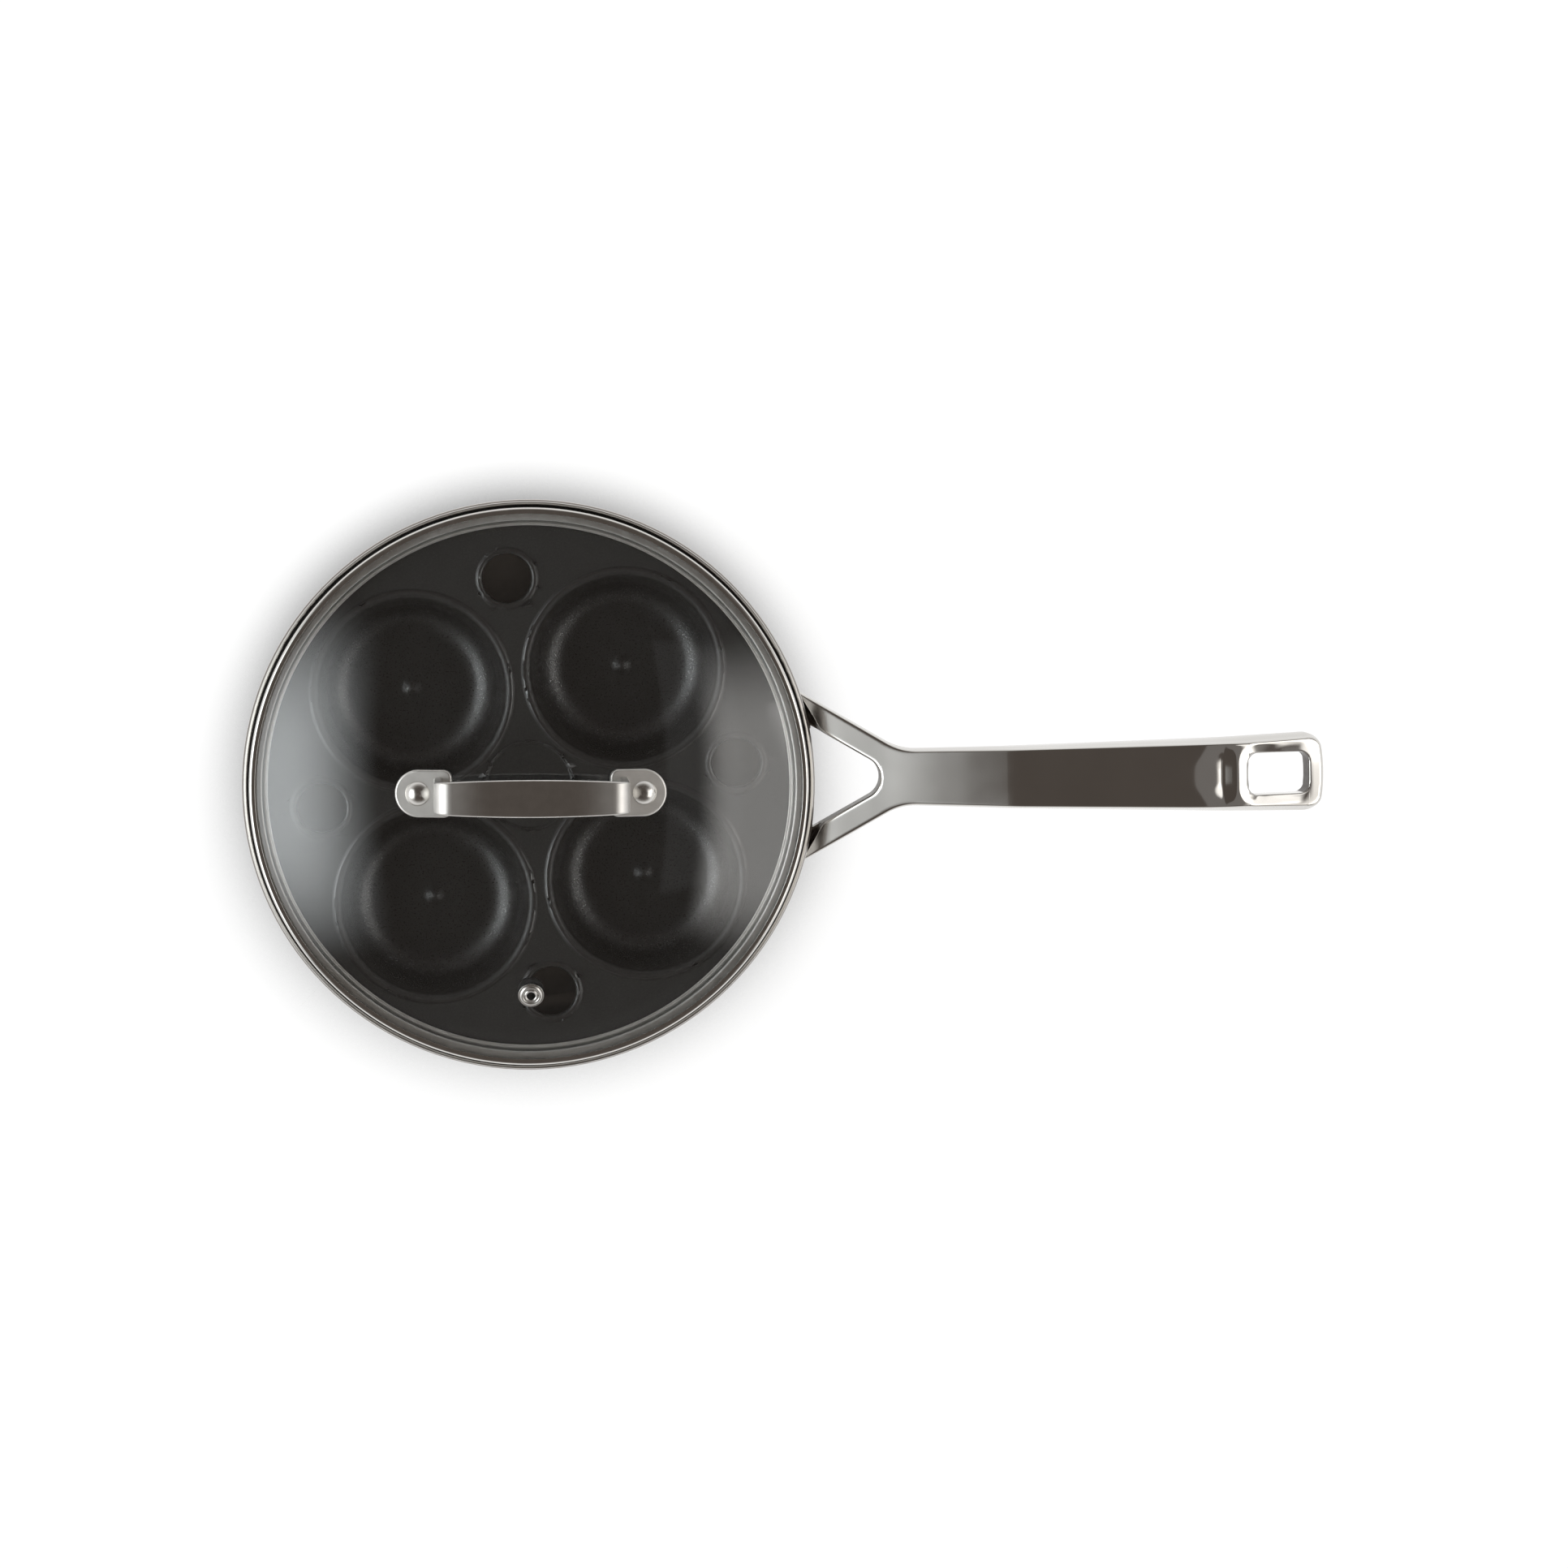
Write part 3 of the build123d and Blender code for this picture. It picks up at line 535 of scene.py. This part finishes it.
# Poaching insert. One pressed aluminium sheet with a dark non-stick coat: four cups with a nub
# in each floor, four steam holes, a shallow round press in the middle and a flange that hangs.
plate_top = 64.62
plate_turn = math.radians(4.8)
sheet = 1.2
cup_pitch, steam_pitch = 54.95, 76.2
cup_corners = [(38.1, 0), (37.5, 0), (34.5, 1.6), (29.3, -22.0), (0, -22.0)]
steam_corners = [(12.1, 0), (11.5, 0), (8.9, 1.4), (8.9, -2.8)]
press_corners = [(16.6, 0), (16.0, 0), (15.2, -0.5), (0, -0.5)]
rim_corners = [(95.0, 0), (97.7, 0), (97.7, 5.2), (101.8, 5.2)]


def spun(line, centre, steps):
    """A line of radius and height turned about an upright axis, one row for each of its points."""
    angles = np.linspace(0, 2 * math.pi, steps + 1)[:-1]
    x = centre[0] + line[:, :1] * np.cos(angles)
    y = centre[1] + line[:, :1] * np.sin(angles)
    return np.stack([x, y, np.broadcast_to(line[:, 1:], x.shape)], -1)


def denser(line, gap):
    """The same line with points added so that none are further apart than a gap."""
    length = np.concatenate([[0], np.cumsum(np.hypot(*np.diff(line, axis=0).T))])
    pieces = [np.linspace(a, b, max(1, int((b - a) / gap)), endpoint=False) for a, b in zip(length, length[1:])]
    at = np.append(np.concatenate(pieces), length[-1])
    return np.stack([np.interp(at, length, line[:, 0]), np.interp(at, length, line[:, 1])], 1)


cup_line = denser(rounded(cup_corners, [1.4, 2.4, 12.0], 7.0), 2.2)
fine = np.stack([np.linspace(6.0, 0, 15), np.full(15, -22.0)], 1)
cup_line = np.vstack([cup_line[cup_line[:, 0] > 6.2], fine])
cup_line[:, 1] += 0.68 * (1 + np.cos(math.pi * np.clip(cup_line[:, 0] / 4.4, 0, 1)))
steam_line = rounded(steam_corners, [1.4, 1.3], 8.0)
press_line = rounded(press_corners, [1.4, 0.7], 8.0)
rim_line = rounded(rim_corners, [2.0, 1.2], 8.0)
stamped = [(cup_line, cup_pitch, 45 + 90 * number, 120) for number in range(4)]
stamped += [(steam_line, steam_pitch, 90 * number, 64) for number in range(4)]
stamped += [(press_line, 0.0, 0, 96)]
points, faces, edges_found = [], [], []
count = 0
for line, pitch, angle, steps in stamped + [(rim_line, 0.0, 0, 240)]:
    angle = math.radians(angle)
    rings = spun(line, (pitch * math.cos(angle), pitch * math.sin(angle)), steps)
    points.append(rings.reshape(-1, 3))
    faces += grid_faces(len(line), steps, count).tolist()
    edges_found.append(np.arange(steps) + count)
    count += rings.shape[0] * steps
points = np.vstack(points)
holes = [points[ring] for ring in edges_found[:-1]]
outline = points[edges_found[-1]]
loops = [outline] + holes
loop_ids = np.concatenate([edges_found[-1]] + edges_found[:-1])
flat = tessellate_polygon([[Vector(point) for point in loop] for loop in loops])
faces += [[int(loop_ids[corner]) for corner in face] for face in flat]
turned = np.stack([points[:, 0] * math.cos(plate_turn) - points[:, 1] * math.sin(plate_turn),
                   points[:, 0] * math.sin(plate_turn) + points[:, 1] * math.cos(plate_turn),
                   points[:, 2] + plate_top], -1)

nonstick, tree, paint = shader("nonstick_coat")
place = add(tree, "ShaderNodeTexCoord").outputs["Object"]
grit = add(tree, "ShaderNodeTexNoise", {"Vector": place, "Scale": 1500.0, "Detail": 2.0}).outputs["Fac"]
spots = add(tree, "ShaderNodeTexVoronoi", {"Vector": place, "Scale": 1900.0}).outputs["Distance"]
coat_tones = [(0.35, (0.0085, 0.0080, 0.0075)), (0.72, (0.019, 0.018, 0.017))]
tree.links.new(ramp(tree, grit, coat_tones), paint.inputs["Base Color"])
level = add(tree, "ShaderNodeSeparateXYZ", {0: place}).outputs["Z"]
# The coat is glossier and rougher to the touch in the cups, and worn shiny on their raised edges.
cup_mouth = (0.0600, 0.0636)
in_cup = spread(tree, level, *cup_mouth, 1.0, 0.0)
glint = sums(tree, "MULTIPLY", spread(tree, grit, 0.35, 0.75, 0.0, 0.20), in_cup)
above_plate = spread(tree, level, 0.0647, 0.0652)
edge = sums(tree, "MULTIPLY", above_plate, spread(tree, level, 0.0664, 0.0670, 1.0, 0.0))
glint = sums(tree, "ADD", glint, sums(tree, "MULTIPLY", edge, 0.13))
tree.links.new(sums(tree, "SUBTRACT", 0.42, glint), paint.inputs["Roughness"])
bump = add(tree, "ShaderNodeBump", {"Height": sums(tree, "ADD", grit, spots), "Distance": 0.0001})
tree.links.new(spread(tree, level, *cup_mouth, 0.55, 0.08), bump.inputs["Strength"])
tree.links.new(bump.outputs["Normal"], paint.inputs["Normal"])
on_floor = spread(tree, level, 0.0427, 0.0440, 0.45, 0.8)
shine = sums(tree, "MINIMUM", spread(tree, level, *cup_mouth, 0.8, 0.5), on_floor)
tree.links.new(sums(tree, "ADD", shine, sums(tree, "MULTIPLY", edge, 0.45)), paint.inputs["Specular IOR Level"])
insert = mesh_piece("poaching_insert", turned, faces, nonstick, "insert")
wall = insert.modifiers.new("sheet", "SOLIDIFY")
wall.thickness = sheet * 0.001
wall.offset = -1.0
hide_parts("insert_plate")


# Lid glass. Domed tempered glass with three drilled holes. The brim is shaded as if the dome ran
# on through it to the band.
glass, tree, paint = shader("tempered_glass")
haze = add(tree, "ShaderNodeTexNoise", {"Vector": add(tree, "ShaderNodeTexCoord").outputs["Object"], "Scale": 45.0})
tree.links.new(spread(tree, haze.outputs["Fac"], 0.40, 0.75, 0.0, 0.012), paint.inputs["Roughness"])
paint.inputs["Base Color"].default_value = (0.985, 0.992, 0.99, 1.0)
place = add(tree, "ShaderNodeTexCoord").outputs["Object"]
flat = add(tree, "ShaderNodeVectorMath", {0: place, 1: (1.0, 1.0, 0.0)}, operation="MULTIPLY").outputs[0]
reach = add(tree, "ShaderNodeVectorMath", {0: flat}, operation="LENGTH").outputs["Value"]
dome_centre_drop = (0.0, 0.0, 0.10988)
ball = add(tree, "ShaderNodeVectorMath", {0: place, 1: dome_centre_drop}, operation="ADD").outputs[0]
ball = add(tree, "ShaderNodeVectorMath", {0: ball}, operation="NORMALIZE").outputs[0]
own = add(tree, "ShaderNodeNewGeometry").outputs["Normal"]
side = add(tree, "ShaderNodeVectorMath", {0: own, 1: ball}, operation="DOT_PRODUCT").outputs["Value"]
side = sums(tree, "SIGN", side, 0.0)
ball = add(tree, "ShaderNodeVectorMath", {0: ball, "Scale": side}, operation="SCALE").outputs[0]
brim = (0.0955, 0.0975)
share = spread(tree, reach, *brim, 0.0, 0.85)
mixed = add(tree, "ShaderNodeMix", {"Factor": share}, data_type="VECTOR")
tree.links.new(own, mixed.inputs[4])
tree.links.new(ball, mixed.inputs[5])
turned = add(tree, "ShaderNodeVectorMath", {0: mixed.outputs[1]}, operation="NORMALIZE").outputs[0]
tree.links.new(turned, paint.inputs["Normal"])
paint.inputs["IOR"].default_value = 1.5
paint.inputs["Transmission Weight"].default_value = 1.0
dress(glass, "lid_glass")
nodes["lid_glass"].visible_shadow = False
nodes["lid_glass"].visible_diffuse = False

# Silicone pads and bushes. Moulded dark grey silicone between the glass and the steel: a pad
# under each foot of the strap and a flanged bush in each of the three holes.
silicone, tree, paint = shader("dark_silicone")
place = add(tree, "ShaderNodeTexCoord").outputs["Object"]
speck = add(tree, "ShaderNodeTexNoise", {"Vector": place, "Scale": 900.0, "Detail": 4.0}).outputs["Fac"]
silicone_tones = [(0.3, (0.016, 0.0155, 0.015)), (0.7, (0.026, 0.025, 0.024))]
tree.links.new(ramp(tree, speck, silicone_tones), paint.inputs["Base Color"])
tree.links.new(spread(tree, speck, 0.3, 0.7, 0.44, 0.58), paint.inputs["Roughness"])
bump = add(tree, "ShaderNodeBump", {"Height": speck, "Strength": 0.3, "Distance": 0.00005})
tree.links.new(bump.outputs["Normal"], paint.inputs["Normal"])
dress(silicone, *[name for name in nodes if "foot_pad" in name or "grommet" in name])

# Lid band. One strip of stainless steel rolled over the glass's edge: a bead at the top, a satin
# seat under the brim and a lip that centres the lid in the insert.
band_corners = [(101.98, 72.6), (101.98, 70.64), (97.1, 70.64), (96.0, 66.95), (95.1, 66.80), (95.1, 66.10),
                (96.45, 66.30), (97.5, 70.12), (102.5, 70.12), (102.5, 75.32), (100.2, 75.32), (100.2, 74.80),
                (101.98, 74.80), (101.98, 72.6)]
band_line = rounded(band_corners, [0.25, 1.1, 0.25, 0.38, 0.2, 0.5, 0.8, 0.9, 1.3, 0.2, 0.05, 0.15], 8.0)
rings = spun(band_line, (0.0, 0.0), 360)
faces = grid_faces(len(band_line), 360)
rolled = two_finishes("rolled_band", 0.0722, 0.0738, 0.36, 0.15, (1, 1, 8), 300.0, 0.10)
band = mesh_piece("rolled_lid_band", rings.reshape(-1, 3), faces, rolled, "lid")
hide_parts("lid_band")

# Steam vent. A turned stainless eyelet: a domed flange with a groove round its bore, and a tube
# that is closed over a washer under the glass.
satin = metal("turned_satin", (0.58, 0.565, 0.54), (0.64, 0.625, 0.60), 0.18, 0.27, (1, 1, 1), 700.0, 0.12)
vent_corners = [(2.25, -3.0), (2.25, 0.62), (4.66, 0.62), (4.66, 0.98), (4.05, 1.04), (3.3, 1.95), (2.62, 1.15),
                (2.1, 1.72), (1.6, 1.45), (1.6, -6.85), (3.4, -6.85), (3.4, -6.02), (2.25, -6.02), (2.25, -3.0)]
vent_line = rounded(vent_corners, [0, 0.12, 0.15, 0.12, 0.6, 0.15, 0.2, 0.2, 0.15, 0.2, 0, 0], 10.0, 0.03)
eyelet_steel = metal("eyelet_steel", (0.58, 0.565, 0.54), (0.64, 0.625, 0.60), 0.26, 0.34, (1, 1, 1), 700.0, 0.10)
vent_turn, vent_reach, dome = math.radians(-91.2), 74.9, 209.0
vent_tilt = math.asin(vent_reach / dome)
up = np.array([math.cos(vent_turn) * math.sin(vent_tilt), math.sin(vent_turn) * math.sin(vent_tilt),
               math.cos(vent_tilt)])
level = np.array([-math.sin(vent_turn), math.cos(vent_turn), 0.0])
foot = up * dome + np.array([0.0, 0.0, -109.88])
local = spun(vent_line, (0.0, 0.0), 96).reshape(-1, 3)
points = foot + local[:, :1] * level + local[:, 1:2] * np.cross(up, level) + local[:, 2:] * up
vent = mesh_piece("turned_vent_eyelet", points, grid_faces(len(vent_line), 96), eyelet_steel, "lid")
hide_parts("vent_eyelet")

# Lid handle. A bent steel strap, mirror polished over the top, with satin feet that are fixed by
# domed rivets; satin steel washers are closed under the glass.
strap = two_finishes("strap_steel", 0.1035, 0.1065, 0.42, 0.14, (1, 1, 1), 240.0, 0.07)
# Towards its bends the strap's polish gets blurred.
tree = strap.node_tree
along = add(tree, "ShaderNodeSeparateXYZ", {0: add(tree, "ShaderNodeTexCoord").outputs["Object"]}).outputs["X"]
blur = spread(tree, sums(tree, "ABSOLUTE", along, 0.0), 0.013, 0.030, 0.20, 0.42)
gloss = tree.nodes["Principled BSDF"].inputs["Roughness"]
tree.links.new(sums(tree, "MAXIMUM", gloss.links[0].from_socket, blur), gloss)
dress(strap, "lid_handle")
dress(satin, "lid_rivet_front", "lid_rivet_back")
dress(satin, "lid_washer_front", "lid_washer_back", "vent_washer")
